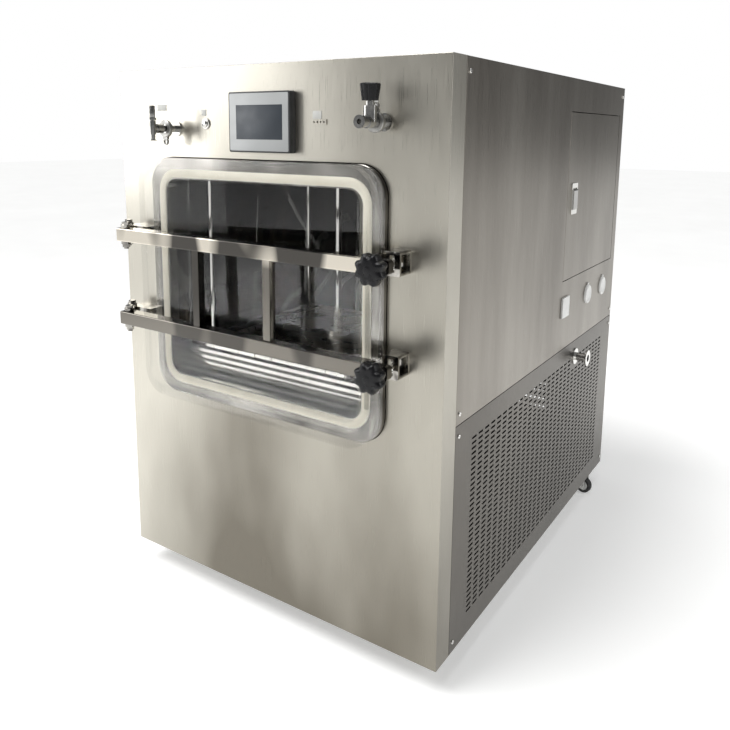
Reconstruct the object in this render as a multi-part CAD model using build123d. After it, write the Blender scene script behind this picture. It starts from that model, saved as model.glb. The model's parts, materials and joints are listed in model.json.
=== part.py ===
from build123d import *
import math
import os

# Freeze dryer with a square vacuum chamber, stainless cabinet on four casters.
# Millimetres. +X to the right seen from the front, +Y to the rear, +Z up.
# Pieces are drawn from the cabinet's front left corner on the floor and are
# moved at the end, so that the finished part has its origin at the bottom
# centre of the whole machine.

# ---------------------------------------------------------------- driving sizes
cabinet_w = 1100.0
cabinet_d = 1450.0
panel_h = 1500.0
ground_gap = 78.0
sheet = 1.5
hem = 14.0
seam = 1.5
bend_r = 1.2
front_box_d = 70.0
louvre_count = 10
louvre_pitch = 34.0
louvre_low = 180.0
louvre_half_w = 90.0
louvre_half_h = 4.0
split_h = 621.0
tube = 30.0
tube_wall = 2.0

# vacuum chamber and its clear door
chamber_cx = 541.0
chamber_cz = 905.0
chamber_w = 676.0
chamber_h = 576.0
chamber_d = 745.0
chamber_wall = 6.0
chamber_corner_r = 38.0
slab_w = 798.0
slab_h = 694.0
slab_t = 50.0
slab_corner_r = 76.0
slab_chamfer = 4.0
ring_margin = 2.0
ring_proud = 15.0
ring_behind = 12.0
ring_gap = 1.5
gasket_w = 24.0
gasket_t = 3.0

# clamp bars across the door
bar_size = 38.0
bar_wall = 3.0
bar_stand_off = 2.0
bar_left_x = 88.0
bar_right_x = 956.0
upper_bar_z = 1031.0
lower_bar_z = 784.0
tie_size = 24.0
tie_xs = (397.0, 647.0)
bar_corner_r = 3.0
pad_w = 30.0

# door hinge: bracket, double link and two vertical pins a side
hinge_pin_r = 7.0
hinge_fit = 0.08
bracket_pin_x = 62.0
bracket_pin_out = 42.0
door_pin_in = 18.0
link_t = 8.0
link_r = 14.0
link_gap = 1.0
bracket_block_w = 26.0

# turn-bolt clamps at the right end of the bars
bolt_x = 984.0
bolt_r = 6.0
bolt_fit = 0.6
bolt_thread_fit = 0.08
cross_bar_r = 4.0
cross_bar_len = 26.0
cross_ball_r = 5.5
cross_out = 38.0
keeper_plate_t = 6.0
keeper_slot_w = 15.0
keeper_slot_h = 40.0
keeper_w = 44.0
keeper_h = 58.0
fork_t = 10.0
fork_end_x = 1006.0
knob_r = 40.0
knob_t = 38.0
knob_lobes = 8
knob_lobe_r = 10.0
knob_hub_r = 15.0
washer_r = 16.0
washer_t = 2.5
washer_fit = 0.3
feed_room = 0.4
knob_hub_t = 16.0

# touch screen
screen_cx = 563.0
screen_cz = 1351.5
screen_w = 206.0
screen_h = 155.0
screen_proud = 25.0
screen_corner_r = 5.0
screen_cut_w = 186.0
screen_cut_h = 130.0
screen_body_d = 46.0
lcd_w = 156.0
lcd_h = 88.0
lcd_t = 2.0
lcd_dx = 2.0
lcd_inset = 0.6
lcd_fit = 0.2

# push button and sensor sockets
button_x = 352.0
button_z = 1348.0
button_bezel_r = 15.0
button_r = 11.0
button_fit = 0.15
socket_x = 741.0
socket_z = 1352.0
socket_w = 44.0
socket_h = 14.0
socket_hole_r = 2.5
socket_pitch = 10.0

# two small valves on the front panel
vent_x = 236.0
vent_z = 1334.0
charge_x = 930.0
charge_z = 1351.0
valve_tube_r = 10.0
valve_tube_wall = 2.0
valve_flange_r = 20.0
valve_flange_t = 3.0
valve_flange_out = 38.0
valve_rose_r = 21.0
valve_rose_t = 4.0
valve_clamp_r = 24.0
valve_clamp_w = 12.0
valve_fit = 0.06
nozzle_r = 6.5
nozzle_bore_r = 4.0
vent_stem_out = 46.0
charge_stem_out = 24.0
stem_r = 4.0

# electrical cabinet in the right upper panel
door_y0 = 832.0
door_y1 = 1398.5
door_z0 = 857.0
door_z1 = 1396.0
door_gap = 2.0
door_hinge_gap = 3.0
door_hem = 15.0
pivot_inset = 5.0
pivot_r = 2.5
pivot_fit = 0.08
module_rail_zs = (120.0, 270.0, 420.0)
module_rows = ((45, 45, 45, 70, 70, 45), (110, 60, 60, 60), (18,) * 14)
module_depths = (78, 100, 42)
module_heights = (84, 110, 50)
cabinet_box_d = 180.0
cabinet_box_lip = 4.0
latch_y0 = 866.0
latch_w = 56.0
latch_z0 = 1072.0
latch_h = 100.0
latch_pin_r = 1.5
latch_pin_drop = 23.0

# side fittings
port_y = 1010.0
port_z = 562.0
port_pipe_r = 14.0
port_bore_r = 12.0
port_out = 46.0
port_flange_r = 27.5
port_flange_t = 5.0
port_rose_r = 28.0
port_rose_t = 4.0
port_in = 90.0
cap_r = 34.0
cap_t = 8.0
cap_ys = (1111.0, 1293.0)
cap_z = 767.0
plate_y = 864.0
plate_size = 68.0
plate_t = 6.0
screw_r = 5.5
screw_head_t = 3.0
screw_front_y = 89.0
screw_rear_inset = 22.0
screw_edge_inset = 29.0
screw_top_inset = 33.0

# shelves and ram
shelf_w = 640.0
shelf_d = 600.0
shelf_front_y = 42.0
shelf_t = 9.0
shelf_pitch = 18.5
shelf_count = 4
shelf_bottom_z = 638.0
shelf_corner_r = 6.0
shelf_leg_r = 13.0
ram_y = 365.0
ram_r = 11.0
ram_fit = 0.06
gland_r = 26.0
cylinder_r = 38.0
cylinder_h = 262.0
sleeve_r = gland_r - 12.0
sleeve_drop = 16.0
ram_flange_r = gland_r + 34.0
ram_flange_t = 20.0
rail_x = 243.0
rail_half = 7.0
rail_h = 10.0
rod_r = 7.0
rod_fit = 0.1
rod_inset_x = 36.0
rod_inset_y = 60.0
hose_r = 7.0
hose_behind = 54.0
hose_fitting = 14.0
hose_climb = 130.0
hose_top = 420.0

# machine bay
trap_x = 545.0
trap_z = 270.0
trap_r = 170.0
trap_len = 420.0
trap_behind = 40.0
trap_neck_r = 62.0
trap_cradle_half = 120.0
compressor_x = 360.0
compressor_y = 560.0
compressor_r = 120.0
compressor_foot_h = 24.0
compressor_foot_r = 16.0
compressor_foot_at = 95.0
compressor_top = 330.0
compressor_outlet = 165.0
condenser_y = 1180.0
condenser_x0 = 560.0
condenser_x1 = 620.0
condenser_half_w = 200.0
condenser_low = 20.0
condenser_high = 440.0
condenser_frame = 14.0
fin_count = 24
fin_pitch = 15.5
fin_t = 3.0
fan_axis_h = 230.0
fan_mid = 26.0
guard_depth = 50.0
guard_bar_t = 6.0
fan_shaft_r = 5.0
fan_shaft_fit = 0.08
fan_r = 165.0
fan_blades = 5
blade_chord = 82.0
blade_span = 128.0
blade_pitch = 24.0

# casters
wheel_r = 31.5
wheel_w = 24.0
wheel_fit = 0.06
axle_r = 5.0
caster_plate = 84.0
caster_plate_t = 4.0
caster_trail = 26.0
fork_cheek_t = 3.0
fork_clear = 1.2
kingpin_r = 8.0
kingpin_fit = 0.08
caster_inset_x = 48.0
caster_inset_y = 150.0
rear_right_shift = (16.0, 20.0)
# rest headings of the four casters, degrees about +Z from "trailing to the right"
caster_headings = {"front_left": 200.0, "front_right": 250.0, "rear_left": 215.0, "rear_right": -13.0}

# ---------------------------------------------------------------- derived sizes
z0 = ground_gap
top_z = ground_gap + panel_h
frame_x0 = hem
frame_x1 = cabinet_w - hem
frame_y0 = front_box_d
frame_y1 = cabinet_d - hem
frame_z1 = top_z - hem
slab_back = -(ring_proud + gasket_t)
slab_front = slab_back - slab_t
bar_back = slab_front - bar_stand_off
bar_front = bar_back - bar_size
bar_mid = (bar_back + bar_front) / 2
knob_back = bar_mid - fork_t - feed_room - washer_t
knob_front = knob_back - knob_hub_t - knob_t
side_y0 = front_box_d + seam
chamber_x0 = chamber_cx - chamber_w / 2
chamber_x1 = chamber_cx + chamber_w / 2
chamber_z0 = z0 + chamber_cz - chamber_h / 2
chamber_z1 = z0 + chamber_cz + chamber_h / 2
shelf_cx = chamber_cx
shelf_cy = shelf_front_y + shelf_d / 2
shelf_zs = [z0 + shelf_bottom_z + i * shelf_pitch for i in range(shelf_count)]
plate_top = shelf_zs[-1] + shelf_t
trap_leg_ys = (ring_behind + chamber_d + 110, ring_behind + chamber_d + 380)

# outermost points of the machine, which set the origin
left_end = -screw_head_t
right_end = cabinet_w + port_out
front_end = knob_front
rear_end = cabinet_d
ORIGIN = ((left_end + right_end) / 2, (front_end + rear_end) / 2, 0.0)

parts = {}


# ---------------------------------------------------------------- small helpers
def span(x0, x1, y0, y1, za, zb):
    """Box from its lowest to its highest corner."""
    size = (x1 - x0, y1 - y0, zb - za)
    return Pos((x0 + x1) / 2, (y0 + y1) / 2, (za + zb) / 2) * Box(*size)


def rod_x(x0, x1, y, z, r):
    return Pos((x0 + x1) / 2, y, z) * Rot(0, 90, 0) * Cylinder(r, abs(x1 - x0))


def rod_y(x, y0, y1, z, r):
    return Pos(x, (y0 + y1) / 2, z) * Rot(90, 0, 0) * Cylinder(r, abs(y1 - y0))


def rod_z(x, y, za, zb, r):
    return Pos(x, y, (za + zb) / 2) * Cylinder(r, abs(zb - za))


def plate_xz(cx, cz, w, h, r, y0, y1):
    """Rounded plate that stands in the XZ plane, from y0 back to y1."""
    outline = Plane(origin=(cx, y1, cz), x_dir=(1, 0, 0), z_dir=(0, -1, 0)) * RectangleRounded(w, h, r)
    return extrude(outline, y1 - y0)


def tray_x(outer_x, inner_x, y0, y1, za, zb):
    """Folded side panel: a skin at outer_x with hems turned in all round."""
    inward = 1 if inner_x > outer_x else -1
    x0, x1 = min(outer_x, inner_x), max(outer_x, inner_x)
    body = span(x0, x1, y0, y1, za, zb)
    outer = body.faces().sort_by(Axis.X)[0 if inward > 0 else -1]
    body = fillet(outer.edges(), bend_r)
    skin_x = outer_x + inward * sheet
    a, b = min(skin_x, inner_x + inward), max(skin_x, inner_x + inward)
    return body - span(a, b, y0 + sheet, y1 - sheet, za + sheet, zb - sheet)


def tray_y(outer_y, inner_y, x0, x1, za, zb):
    """Folded front or rear panel with hems turned in all round."""
    inward = 1 if inner_y > outer_y else -1
    y0, y1 = min(outer_y, inner_y), max(outer_y, inner_y)
    body = span(x0, x1, y0, y1, za, zb)
    outer = body.faces().sort_by(Axis.Y)[0 if inward > 0 else -1]
    body = fillet(outer.edges(), bend_r)
    skin_y = outer_y + inward * sheet
    a, b = min(skin_y, inner_y + inward), max(skin_y, inner_y + inward)
    return body - span(x0 + sheet, x1 - sheet, a, b, za + sheet, zb - sheet)


def keep(name, *solids):
    """Store a node made of one solid or of several separate ones."""
    parts[name] = list(solids)


def square_tube(x0, x1, y0, y1, za, zb, wall, axis, r=0.0):
    """Hollow square tube along one axis, with rounded long edges if r is given."""
    body = span(x0, x1, y0, y1, za, zb)
    if r > 0:
        body = fillet(body.edges().filter_by(axis), r)
    cut = [x0, x1, y0, y1, za, zb]
    for i, along in enumerate((Axis.X, Axis.Y, Axis.Z)):
        step = 1.0 if along == axis else -wall
        cut[2 * i] -= step
        cut[2 * i + 1] += step
    return body - span(*cut)


# ---------------------------------------------------------------- welded frame
def frame():
    tubes = []
    xs = (frame_x0, frame_x1 - tube)
    ys = (frame_y0, frame_y1 - tube)
    for x in xs:
        for y in ys:
            tubes.append(square_tube(x, x + tube, y, y + tube, z0, frame_z1, tube_wall, Axis.Z))
    side_levels = (z0, z0 + split_h - tube / 2, frame_z1 - tube)
    for x in xs:
        for z in side_levels:
            run = (x, x + tube, frame_y0 + tube, frame_y1 - tube, z, z + tube)
            tubes.append(square_tube(*run, tube_wall, Axis.Y))
    support = chamber_z0 - chamber_wall - tube
    for y in ys:
        for z in (z0, support, frame_z1 - tube):
            run = (frame_x0 + tube, frame_x1 - tube, y, y + tube, z, z + tube)
            tubes.append(square_tube(*run, tube_wall, Axis.X))
    rear_beam_y = ring_behind + chamber_d - 2 * tube
    run = (frame_x0 + tube, frame_x1 - tube, rear_beam_y, rear_beam_y + tube, support, support + tube)
    tubes.append(square_tube(*run, tube_wall, Axis.X))
    for leg_y in trap_leg_ys:
        run = (frame_x0 + tube, frame_x1 - tube, leg_y - tube / 2, leg_y + tube / 2,
               z0 + split_h - tube / 2, z0 + split_h + tube / 2)
        tubes.append(square_tube(*run, tube_wall, Axis.X))
    tubes.append(span(frame_x0 + tube, frame_x1 - tube, frame_y0 + tube, frame_y1 - tube,
                      z0 + tube - 3, z0 + tube))
    keep("frame", *tubes)


# ---------------------------------------------------------------- cabinet panels
def side_panels():
    low_top = z0 + split_h - seam / 2
    up_bottom = z0 + split_h + seam / 2
    y1 = cabinet_d
    right = cabinet_w
    upper = tray_x(right, right - hem, side_y0, y1, up_bottom, top_z)
    upper -= span(right - hem - 1, right - sheet, side_y0 - 1, y1 + 1, frame_z1, top_z + 1)
    upper -= span(right - hem - 1, right + 1, door_y0 - door_gap, door_y1 + door_hinge_gap,
                  z0 + door_z0 - door_gap, z0 + door_z1 + door_gap)
    keep("right_upper_panel", upper)
    lower = tray_x(right, right - hem, side_y0, y1, z0, low_top)
    lower -= rod_x(right - hem - 1, right + 1, port_y, z0 + port_z, port_pipe_r + 1.0)
    keep("right_lower_panel", lower)
    upper_left = tray_x(0, hem, side_y0, y1, up_bottom, top_z)
    upper_left -= span(sheet, hem + 1, side_y0 - 1, y1 + 1, frame_z1, top_z + 1)
    keep("left_upper_panel", upper_left)
    keep("left_lower_panel", tray_x(0, hem, side_y0, y1, z0, low_top))


def front_panel():
    body = tray_y(0, front_box_d, 0, cabinet_w, z0, top_z)
    cut_w = slab_w + 2 * ring_margin + 2 * ring_gap
    cut_h = slab_h + 2 * ring_margin + 2 * ring_gap
    cut_r = slab_corner_r + ring_margin + ring_gap
    body -= plate_xz(chamber_cx, z0 + chamber_cz, cut_w, cut_h, cut_r, -1, sheet + 1)
    body -= span(screen_cx - screen_cut_w / 2, screen_cx + screen_cut_w / 2, -1, sheet + 1,
                 z0 + screen_cz - screen_cut_h / 2, z0 + screen_cz + screen_cut_h / 2)
    body -= rod_y(button_x, -1, sheet + 1, z0 + button_z, button_r + 1.5)
    for x, z in ((vent_x, vent_z), (charge_x, charge_z)):
        body -= rod_y(x, -1, sheet + 1, z0 + z, valve_tube_r + 0.5)
    body -= span(socket_x - socket_w / 2 + 4, socket_x + socket_w / 2 - 4, -1, sheet + 1,
                 z0 + socket_z - socket_h / 2 + 3, z0 + socket_z + socket_h / 2 - 3)
    keep("front_panel", body)


def rear_and_top():
    inset = sheet + seam
    rear = tray_y(cabinet_d, cabinet_d - hem, hem + 1, cabinet_w - hem - 1, z0, frame_z1)
    louvre = span(-louvre_half_w, louvre_half_w, -hem, hem, -louvre_half_h, louvre_half_h)
    for k in range(louvre_count):
        for x in (cabinet_w * 0.3, cabinet_w * 0.7):
            rear -= Pos(x, cabinet_d, z0 + louvre_low + k * louvre_pitch) * louvre
    keep("rear_panel", rear)
    x0, x1 = inset, cabinet_w - inset
    lid = span(x0, x1, side_y0, cabinet_d, frame_z1, top_z)
    lid = fillet(lid.faces().sort_by(Axis.Z)[-1].edges(), bend_r)
    lid -= span(x0 + sheet, x1 - sheet, side_y0 + sheet, cabinet_d - sheet, frame_z1 - 1, top_z - sheet)
    keep("top_panel", lid)


def screws():
    heads = []
    edge_y = (screw_front_y, cabinet_d - screw_rear_inset)
    rows = (z0 + screw_edge_inset, z0 + split_h - screw_edge_inset,
            z0 + split_h + screw_edge_inset, top_z - screw_top_inset)
    for y in edge_y:
        for z in rows:
            for x, way in ((cabinet_w, 1), (0.0, -1)):
                head = rod_x(x, x + way * screw_head_t, y, z, screw_r)
                head = fillet(head.faces().sort_by(Axis.X)[-1 if way > 0 else 0].edges(), 1.4)
                head -= rod_x(x + way * 1.2, x + way * (screw_head_t + 1), y, z, 1.6)
                heads.append(head)
    keep("panel_screws", *heads)


# ---------------------------------------------------------------- chamber
def chamber():
    cz = z0 + chamber_cz
    back = ring_behind + chamber_d
    outer_w = chamber_w + 2 * chamber_wall
    outer_h = chamber_h + 2 * chamber_wall
    outer_r = chamber_corner_r + chamber_wall
    front = ring_behind
    wrap = plate_xz(chamber_cx, cz, outer_w, outer_h, outer_r, front, back - chamber_wall)
    wrap -= plate_xz(chamber_cx, cz, chamber_w, chamber_h, chamber_corner_r, front - 1, back)
    wrap -= rod_z(shelf_cx, ram_y, chamber_z1 - 1, chamber_z1 + chamber_wall + 1, sleeve_r)
    rear = plate_xz(chamber_cx, cz, outer_w, outer_h, outer_r, back - chamber_wall, back)
    ring_w = slab_w + 2 * ring_margin
    ring_h = slab_h + 2 * ring_margin
    ring = plate_xz(chamber_cx, cz, ring_w, ring_h, slab_corner_r + ring_margin, -ring_proud, front)
    ring = chamfer(ring.faces().sort_by(Axis.Y)[0].edges(), 1.5)
    ring -= plate_xz(chamber_cx, cz, chamber_w, chamber_h, chamber_corner_r, -ring_proud - 1, front + 1)
    top = chamber_z1 + chamber_wall
    ram_case = rod_z(shelf_cx, ram_y, top, top + ram_flange_t, ram_flange_r)
    ram_case += rod_z(shelf_cx, ram_y, top + ram_flange_t, top + cylinder_h, cylinder_r)
    ram_case += rod_z(shelf_cx, ram_y, chamber_z1 - sleeve_drop, top, sleeve_r)
    ram_case -= rod_z(shelf_cx, ram_y, chamber_z1 - 20, top + cylinder_h - 10, ram_r + ram_fit)
    keep("chamber", wrap, rear, ring, ram_case)
    seal_w = chamber_w + 8 + 2 * gasket_w
    seal_h = chamber_h + 8 + 2 * gasket_w
    seal_r = chamber_corner_r + 4 + gasket_w
    seal = plate_xz(chamber_cx, cz, seal_w, seal_h, seal_r, slab_back, -ring_proud)
    seal -= plate_xz(chamber_cx, cz, chamber_w + 8, chamber_h + 8, chamber_corner_r + 4, slab_back - 1, 0)
    keep("door_gasket", seal)


# ---------------------------------------------------------------- door
def door():
    cz = z0 + chamber_cz
    slab = plate_xz(chamber_cx, cz, slab_w, slab_h, slab_corner_r, slab_front, slab_back)
    slab = chamfer(slab.faces().sort_by(Axis.Y)[0].edges(), slab_chamfer)
    keep("door_slab", slab)
    bars = []
    for z in (upper_bar_z, lower_bar_z):
        za = z0 + z - bar_size / 2
        bar = square_tube(bar_left_x, bar_right_x, bar_front, bar_back, za, za + bar_size,
                          bar_wall, Axis.X, bar_corner_r)
        end_plug = span(bar_left_x, bar_left_x + 2 * door_pin_in, bar_front + bar_wall, bar_back - bar_wall,
                        za + bar_wall, za + bar_size - bar_wall)
        bar += end_plug
        bar -= rod_z(bar_left_x + door_pin_in, bar_mid, za - 1, za + bar_size + 1, hinge_pin_r + hinge_fit)
        fork = span(bar_right_x, fork_end_x, bar_mid - fork_t, bar_mid + fork_t, za + 2, za + bar_size - 2)
        fork = fillet(fork.edges().filter_by(Axis.Y).sort_by(Axis.X)[-2:], 8)
        fork -= rod_y(bolt_x, bar_mid - fork_t - 1, bar_mid + fork_t + 1, z0 + z, bolt_r + bolt_fit)
        bars.append(fork)
        for x in (chamber_cx - slab_w / 2 + 60, chamber_cx + slab_w / 2 - 60):
            bar += span(x - pad_w / 2, x + pad_w / 2, bar_back, slab_front, za + 5, za + bar_size - 5)
        bars.append(bar)
    for x in tie_xs:
        tie = square_tube(x - tie_size / 2, x + tie_size / 2, bar_mid - tie_size / 2, bar_mid + tie_size / 2,
                          z0 + lower_bar_z + bar_size / 2, z0 + upper_bar_z - bar_size / 2, 2.0, Axis.Z, 2.0)
        bars.append(tie)
    keep("clamp_bars", *bars)


def hinge():
    brackets = []
    links = []
    pin_x = bracket_pin_x
    pin_y = -bracket_pin_out
    door_x = bar_left_x + door_pin_in
    ring_edge = chamber_cx - slab_w / 2 - ring_margin
    for z in (upper_bar_z, lower_bar_z):
        mid = z0 + z
        low = mid - bar_size / 2 - link_gap
        high = mid + bar_size / 2 + link_gap
        block = span(pin_x, ring_edge, pin_y - bracket_block_w / 2, pin_y + bracket_block_w / 2,
                     mid - bar_size / 2, mid + bar_size / 2)
        block -= span(pin_x + link_r + 3, ring_edge + 1, pin_y - bracket_block_w, pin_y, mid - 60, mid + 60)
        block += rod_z(pin_x, pin_y, mid - bar_size / 2, mid + bar_size / 2, bracket_block_w / 2)
        block -= span(pin_x + link_r + 3, ring_edge + 1, pin_y - 30, pin_y + 1, mid - 60, mid + 60)
        foot = span(pin_x - 10, ring_edge, pin_y + bracket_block_w / 2 - 8, 0.0,
                    mid - bar_size / 2, mid + bar_size / 2)
        block += foot
        block -= rod_z(pin_x, pin_y, mid - 80, mid + 80, hinge_pin_r + hinge_fit)
        brackets.append(block)
        leaves = []
        for za in (high, low - link_t):
            pill = rod_z(pin_x, pin_y, za, za + link_t, link_r)
            pill += rod_z(door_x, bar_mid, za, za + link_t, link_r)
            length = math.hypot(door_x - pin_x, bar_mid - pin_y)
            angle = math.degrees(math.atan2(bar_mid - pin_y, door_x - pin_x))
            web = Pos((pin_x + door_x) / 2, (pin_y + bar_mid) / 2, za + link_t / 2) * Rot(0, 0, angle)
            pill += web * Box(length, 2 * link_r - 6, link_t)
            for x, y in ((pin_x, pin_y), (door_x, bar_mid)):
                pill -= rod_z(x, y, za - 1, za + link_t + 1, hinge_pin_r)
            leaves.append(pill)
        for x, y in ((pin_x, pin_y), (door_x, bar_mid)):
            pin = rod_z(x, y, low - link_t - 14, high + link_t, hinge_pin_r)
            head = Pos(x, y, high + link_t + 4) * extrude(RegularPolygon(11, 6), 4, both=True)
            nut = Pos(x, y, low - link_t - 5) * extrude(RegularPolygon(11, 6), 4.5, both=True)
            leaves.append(pin + head + nut)
        link = leaves[0]
        for leaf in leaves[1:]:
            link += leaf
        links.append(link)
    keep("hinge_brackets", *brackets)
    keep("hinge_links", *links)


# ---------------------------------------------------------------- clamps
def clamps():
    keepers = []
    cross_y = -cross_out
    plate_back = cross_y - cross_ball_r - 1.0
    plate_front = plate_back - keeper_plate_t
    for name, z in (("upper", upper_bar_z), ("lower", lower_bar_z)):
        mid = z0 + z
        block = span(bolt_x - keeper_w / 2, bolt_x + keeper_w / 2, plate_front, 0.0,
                     mid - keeper_h / 2, mid + keeper_h / 2)
        room = cross_bar_len / 2 + cross_ball_r + 1.5
        block -= span(bolt_x - room, bolt_x + room, plate_back, -3.0, mid - room, mid + room)
        block -= span(bolt_x - keeper_w, bolt_x - 4, plate_back, -3.0, mid - room, mid + room)
        block -= span(bolt_x + 4, bolt_x + keeper_w, plate_back, -3.0, mid - room, mid + room)
        block -= span(bolt_x - keeper_slot_w / 2, bolt_x + keeper_slot_w / 2, plate_front - 1, plate_back + 1,
                      mid - keeper_slot_h / 2, mid + keeper_slot_h / 2)
        block = fillet(block.edges().filter_by(Axis.Y).group_by(Axis.X)[0], 4)
        block = fillet(block.edges().filter_by(Axis.Y).group_by(Axis.X)[-1], 4)
        keepers.append(block)
        bolt = rod_y(bolt_x, knob_front + knob_t - 6, cross_y, mid, bolt_r)
        bolt += rod_z(bolt_x, cross_y, mid - cross_bar_len / 2, mid + cross_bar_len / 2, cross_bar_r)
        for end in (-1, 1):
            bolt += Pos(bolt_x, cross_y, mid + end * cross_bar_len / 2) * Sphere(cross_ball_r)
        keep(name + "_clamp_bolt", bolt)
        washer = rod_y(bolt_x, knob_back, knob_back + washer_t, mid, washer_r)
        washer -= rod_y(bolt_x, knob_back - 1, knob_back + washer_t + 1, mid, bolt_r + washer_fit)
        keep(name + "_clamp_washer", washer)
        face = knob_back - knob_hub_t
        knob = rod_y(bolt_x, knob_front, face, mid, knob_r - knob_lobe_r + 1)
        for k in range(knob_lobes):
            a = math.radians(360.0 * (k + 0.5) / knob_lobes)
            reach = knob_r - knob_lobe_r
            lobe_x = bolt_x + reach * math.cos(a)
            knob += rod_y(lobe_x, knob_front, face, mid + reach * math.sin(a), knob_lobe_r)
        knob += rod_y(bolt_x, face, knob_back, mid, knob_hub_r)
        knob -= rod_y(bolt_x, knob_front + knob_t - 10, knob_back + 1, mid, bolt_r + bolt_thread_fit)
        knob -= rod_y(bolt_x, knob_front - 1, knob_front + 2.5, mid, 14)
        keep(name + "_star_knob", knob)
    keep("clamp_keepers", *keepers)


# ---------------------------------------------------------------- front controls
def touch_screen():
    cz = z0 + screen_cz
    body = plate_xz(screen_cx, cz, screen_w, screen_h, screen_corner_r, -screen_proud, 0)
    body = chamfer(body.faces().sort_by(Axis.Y)[0].edges(), 2.0)
    body += span(screen_cx - screen_cut_w / 2 + 1, screen_cx + screen_cut_w / 2 - 1, 0, screen_body_d,
                 cz - screen_cut_h / 2 + 1, cz + screen_cut_h / 2 - 1)
    lcd_x = screen_cx + lcd_dx
    body -= span(lcd_x - lcd_w / 2, lcd_x + lcd_w / 2, -screen_proud - 1,
                 -screen_proud + lcd_t + lcd_inset, cz - lcd_h / 2, cz + lcd_h / 2)
    keep("touch_screen_housing", body)
    glass_front = -screen_proud + lcd_inset
    glass = span(lcd_x - lcd_w / 2 + lcd_fit, lcd_x + lcd_w / 2 - lcd_fit, glass_front, glass_front + lcd_t,
                 cz - lcd_h / 2 + lcd_fit, cz + lcd_h / 2 - lcd_fit)
    keep("touch_screen_glass", glass)


def button():
    z = z0 + button_z
    bezel = rod_y(button_x, -4, 0, z, button_bezel_r)
    bezel = fillet(bezel.faces().sort_by(Axis.Y)[0].edges(), 1.5)
    bezel += rod_y(button_x, 0, 22, z, button_r + 1.4)
    bezel -= rod_y(button_x, -5, 18, z, button_r + button_fit)
    keep("button_bezel", bezel)
    cap = rod_y(button_x, -8, 13, z, button_r)
    cap = fillet(cap.faces().sort_by(Axis.Y)[0].edges(), 2.5)
    keep("push_button", cap)
    sockets = plate_xz(socket_x, z0 + socket_z, socket_w, socket_h, 3, -2.5, 0)
    sockets += span(socket_x - socket_w / 2 + 4.5, socket_x + socket_w / 2 - 4.5, 0, 12,
                    z0 + socket_z - socket_h / 2 + 3.5, z0 + socket_z + socket_h / 2 - 3.5)
    for k in range(4):
        x = socket_x + (k - 1.5) * socket_pitch
        sockets -= rod_y(x, -3.5, 8, z0 + socket_z, socket_hole_r)
    keep("sensor_sockets", sockets)


def clamp_ring(x, z, way):
    """Two-part flange clamp drawn closed: ring, hinge lug and wing nut lug."""
    y0 = -valve_flange_out - valve_flange_t - valve_clamp_w / 2
    y1 = y0 + valve_clamp_w
    ring = rod_y(x, y0, y1, z, valve_clamp_r)
    ring = chamfer(ring.edges().filter_by(GeomType.CIRCLE), 1.5)
    ring -= rod_y(x, y0 - 1, y1 + 1, z, valve_tube_r + 2.5)
    ring -= rod_y(x, y0 + 2.5, y1 - 2.5, z, valve_flange_r + 0.1)
    lug_z = z + way * (valve_clamp_r + 5)
    ring += span(x - 9, x + 9, y0 + 2, y1 - 2, min(z + way * 20, lug_z), max(z + way * 20, lug_z))
    wing = rod_y(x, y0 + 3, y1 - 3, lug_z + way * 7, 9) - rod_y(x, y0, y1, lug_z + way * 7, 5.5)
    return ring + wing


def spigot(x, z):
    """Tube welded through the front panel, with its wall rose and end flange."""
    tube_out = -valve_flange_out - valve_flange_t
    body = rod_y(x, tube_out, 60, z, valve_tube_r)
    body += rod_y(x, -valve_rose_t, 0, z, valve_rose_r)
    body += rod_y(x, tube_out, -valve_flange_out, z, valve_flange_r)
    return body - rod_y(x, tube_out - 1, 61, z, valve_tube_r - valve_tube_wall)


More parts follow.
